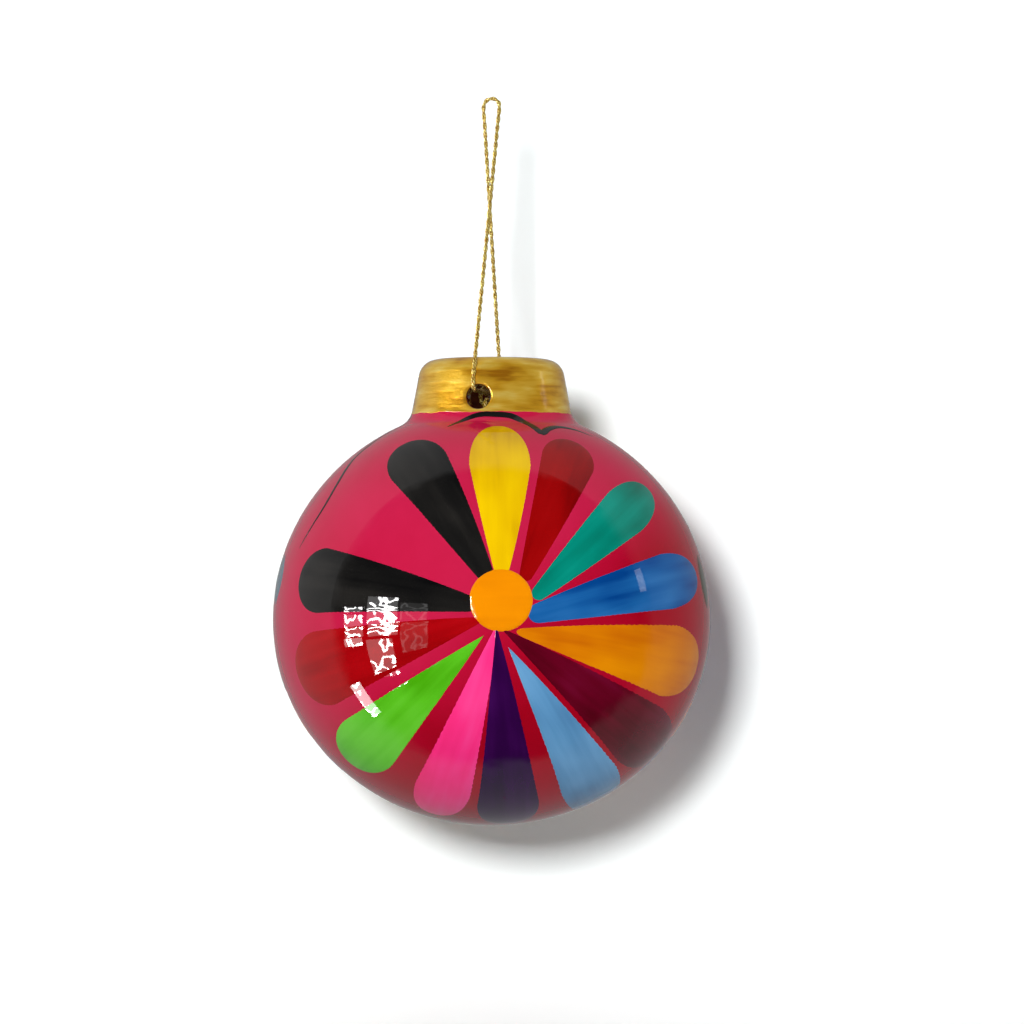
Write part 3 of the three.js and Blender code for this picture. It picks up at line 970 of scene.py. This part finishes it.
panes = [  # azimuth, elevation, width and height in degrees, light of the outlines and overall
    (-77, -2.3, 12, 9, 60, 1.8), (-78, -9.8, 12, 4, 60, 4), (-59, 1.5, 18, 18, 60, 1.8),
    (-61.5, -19, 16, 19, 60, 1.8), (-87, -36, 9, 14, 90, 10), (-41, -5, 15, 25, 1.2, 0.4),
    (88, 16.7, 5, 11, 0.8, 1.8)]


def studio_world():
    """White to the camera and dim on the object. The varnish sees a room with a window in
    front of the wall, and the wall's paleness beyond its edges."""
    world = bpy.data.worlds.new("studio")
    world.use_nodes = True
    nodes = Nodes(world.node_tree)
    way = nodes.add("ShaderNodeTexCoord").outputs["Generated"]
    right = nodes.vector("DOT_PRODUCT", way, tuple(camera_right))
    front = nodes.vector("DOT_PRODUCT", way, tuple(toward_camera))
    up = nodes.add("ShaderNodeSeparateXYZ", {0: way}).outputs["Z"]
    azimuth = nodes.math("ARCTAN2", right, front)
    elevation = nodes.math("ARCSINE", up)
    outdoors = noise(nodes, way, 8.0, detail=1.0)
    outlines = smooth_step(nodes, nodes.math("ABSOLUTE", nodes.math("SUBTRACT", outdoors, 0.53)),
                           0.06, 0.015)
    window = 0.0
    for pane_azimuth, pane_elevation, wide, tall, outline_light, pane_light in panes:
        within = nodes.math("MULTIPLY_ADD", outlines, outline_light, pane_light)
        for angle, middle, size in ((azimuth, pane_azimuth, wide),
                                    (elevation, pane_elevation, tall)):
            off = nodes.math("ABSOLUTE", nodes.math("SUBTRACT", angle, math.radians(middle)))
            within = nodes.math("MULTIPLY", within,
                                nodes.math("LESS_THAN", off, math.radians(size) / 2))
        window = nodes.math("MAXIMUM", window, within)
    uneven = nodes.math("MULTIPLY_ADD", noise(nodes, way, 3.0), 0.5,
                        nodes.math("SUBTRACT", front, 0.25))
    behind = smooth_step(nodes, uneven, 0.08, -0.12)
    room = nodes.math("MULTIPLY_ADD", behind,
                      nodes.math("SUBTRACT", mirrored_wall(nodes, way), room_light), room_light)
    ray = nodes.add("ShaderNodeLightPath").outputs
    seen = nodes.math("MULTIPLY_ADD", ray["Is Camera Ray"], 1 - sky_light, sky_light)
    mirrored = nodes.math("MULTIPLY", ray["Is Glossy Ray"],
                          nodes.math("SUBTRACT", nodes.math("ADD", room, window), sky_light))
    light = nodes.add("ShaderNodeBackground", {
        "Color": (1, 1, 1, 1), "Strength": nodes.math("ADD", seen, mirrored)})
    nodes.add("ShaderNodeOutputWorld", {"Surface": light.outputs[0]})
    return world


sky_light = 0.06
bpy.context.scene.world = studio_world()
bpy.context.scene.view_settings.view_transform = "Standard"
